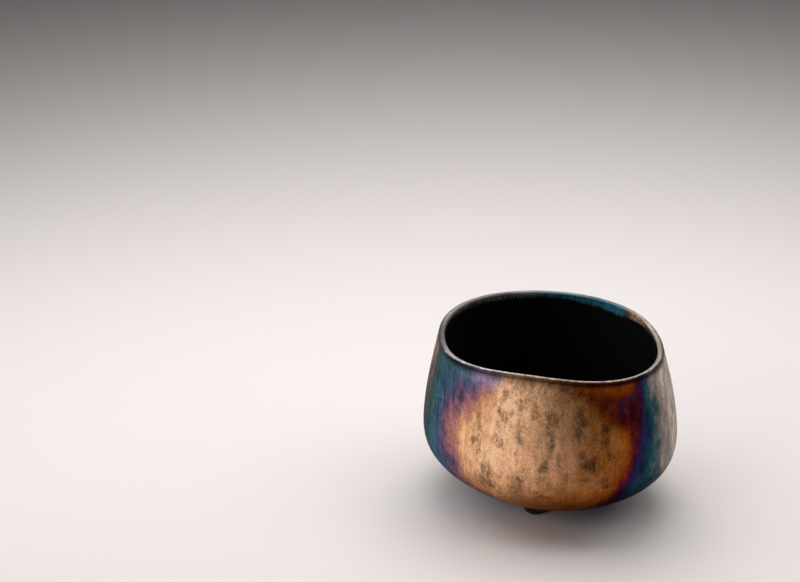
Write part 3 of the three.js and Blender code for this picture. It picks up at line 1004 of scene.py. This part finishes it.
def black(piece):
    """Matte black lining with a flash of teal and of gold under the back of the lip."""
    add_flash_fields(piece)
    add_lining_fields(piece)
    mix = Recipe("black_glaze")
    streaks = mix.noise(1.0, (1, 1, 0.3), detail=3, roughness=0.6)
    grain = mix.noise(0.7, detail=3, roughness=0.6)
    teeth = mix.times(mix.field("teeth"), mix.span(streaks, *TEETH_STREAKS), clamp=True)
    fringe = mix.times(mix.field("fringe"), mix.span(streaks, *FRINGE_STREAKS), clamp=True)
    color, flashed = flash_color(mix, MATTE_BLACK, 1.0)
    color = mix.mix(teeth, color, TEETH_TAN)
    color = mix.mix(fringe, color, FRINGE_GREY)
    metallic = mix.times(mix.larger(flashed, mix.larger(teeth, fringe)), LINING_METALLIC)
    roughness = mix.vary(grain, *LINING_ROUGHNESS)
    mix.finish(piece, color, roughness, metallic, bump=grain, bump_depth=0.15, specular=0.1)


def gloss(piece):
    """Glossy black of the feet, thick and pooled."""
    mix = Recipe("gloss_glaze")
    clouds = mix.noise(2.5, detail=3)
    color = mix.mix(mix.span(clouds, *FOOT_POOLING), GLOSS_BLACK, GLOSS_BROWN)
    mix.finish(piece, color, mix.vary(clouds, *FOOT_ROUGHNESS), metallic=0.0, bump=clouds, bump_depth=0.04)


def bare_clay(piece):
    """Dark fired clay under the glazes."""
    mix = Recipe("fired_clay")
    grain = mix.noise(1.2, detail=4, roughness=0.7)
    color = mix.mix(mix.span(grain, *USUAL), DARK_CLAY, PALE_CLAY)
    mix.finish(piece, color, mix.vary(grain, *CLAY_ROUGHNESS), metallic=0.0, bump=grain, bump_depth=0.2)


# Pieces

def underside(x, y):
    """Height of the glazed underside above points of the table, in millimetres from the belly's axis."""
    reach = np.hypot(x, y) / outline(np.arctan2(y, x), 0)
    drop = (1 - reach**BASE_SQUARENESS) ** (1 / BASE_SQUARENESS)
    return BELLY_HEIGHT + (UNDERSIDE_HEIGHT - BELLY_HEIGHT) * drop


def build_foot(replaced):
    """A rounded knob with a flat pad below, whose top follows the underside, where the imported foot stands."""
    low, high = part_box(replaced)
    centre_x, centre_y = (low.x + high.x) / 2 / MM, (low.y + high.y) / 2 / MM
    turns = np.linspace(0, 2 * math.pi, FOOT_ROUND_STEPS, endpoint=False)
    rise = np.linspace(0, math.pi / 2, FOOT_SIDE_STEPS + 1)
    side = FOOT_PAD_RADIUS + (FOOT_RADIUS - FOOT_PAD_RADIUS) * np.sin(rise)
    radii = np.concatenate([[0], side, FOOT_RADIUS * np.linspace(1, 0, FOOT_TOP_STEPS + 1)])
    heights = np.concatenate([[0], FOOT_BULGE_HEIGHT * (1 - np.cos(rise))])
    x = centre_x + radii[:, None] * np.cos(turns)
    y = centre_y + radii[:, None] * np.sin(turns)
    z = underside(x - AXIS[0], y - AXIS[1]) + AXIS[2] - FOOT_SEAT_GAP
    z[: len(heights)] = heights[:, None]
    piece = closed_shell(replaced.replace("foot", "knob"), np.stack([x, y, z], -1), on_axis=True)
    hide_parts(replaced)
    gloss(piece)


def build_bowl():
    """The three coats, the three feet and the clay, each with its material."""
    lustre(coat("lustre_coat", 0, LIP_START, wall_depth(PROFILE[: LIP_START + 1]), "outer_glaze"))
    silver(coat("silver_coat", LIP_START, LIP_END, 0.0, "lip_glaze"))
    black(coat("black_coat", LIP_END, len(PROFILE) - 1, 0.0, "inner_glaze"))
    for name in ("foot_front", "foot_back_right", "foot_back_left"):
        build_foot(name)
    bare_clay(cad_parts["clay_body"])


# Studio

# Width of the floor in metres
FLOOR_SIZE = 8
FLOOR_COLOR = (0.80, 0.745, 0.73)
FLOOR_ROUGHNESS = 0.9
FLOOR_SPECULAR = 0.1
WORLD_COLOR = (0.80, 0.77, 0.75)
WORLD_STRENGTH = 0.04
# Lights: name, place in metres, size in metres, watts
LIGHTS = [
    ("overhead", (0.0, 0.15, 0.55), 0.5, 1.56),
    ("behind", (0.0, 0.45, 0.8), 0.6, 2.5),
    ("left", (-0.4, 0.05, 0.5), 0.45, 1.4),
    ("right", (0.4, 0.05, 0.5), 0.45, 1.1),
    ("front_left", (-0.75, -0.75, 0.5), 0.7, 3.8),
]


def soft_light(name, place, size, power):
    """A square area light aimed at the middle of the bowl."""
    lamp = bpy.data.lights.new(name, "AREA")
    lamp.size = size
    lamp.energy = power
    holder = bpy.data.objects.new(name, lamp)
    holder.location = place
    aim = Vector((0, 0, HEIGHT / 2 * MM)) - holder.location
    holder.rotation_euler = aim.to_track_quat("-Z", "Y").to_euler()
    bpy.context.scene.collection.objects.link(holder)


def build_studio():
    """A pale floor under a dim sky, with soft lights."""
    bpy.ops.mesh.primitive_plane_add(size=FLOOR_SIZE)
    floor = bpy.context.object
    floor.name = "floor"
    pale = Recipe("pale_floor")
    pale.put(pale.shader.inputs["Base Color"], FLOOR_COLOR)
    pale.put(pale.shader.inputs["Roughness"], FLOOR_ROUGHNESS)
    pale.put(pale.shader.inputs["Specular IOR Level"], FLOOR_SPECULAR)
    floor.data.materials.append(pale.material)
    world = bpy.data.worlds.new("studio")
    world.use_nodes = True
    backdrop = world.node_tree.nodes["Background"]
    backdrop.inputs["Color"].default_value = (*WORLD_COLOR, 1)
    backdrop.inputs["Strength"].default_value = WORLD_STRENGTH
    bpy.context.scene.world = world
    for light in LIGHTS:
        soft_light(*light)


def place_camera():
    """A camera above the front of the bowl, looking down on it."""
    eye = bpy.data.cameras.new("camera")
    eye.lens = CAMERA_LENS
    eye.sensor_width = CAMERA_SENSOR
    camera = bpy.data.objects.new("camera", eye)
    camera.location = Vector(CAMERA_PLACE) * MM
    camera.rotation_euler = (math.radians(90 - CAMERA_PITCH), 0, math.radians(CAMERA_YAW))
    bpy.context.scene.collection.objects.link(camera)
    bpy.context.scene.camera = camera


build_bowl()
build_studio()
place_camera()
bpy.context.scene.view_settings.view_transform = "Standard"
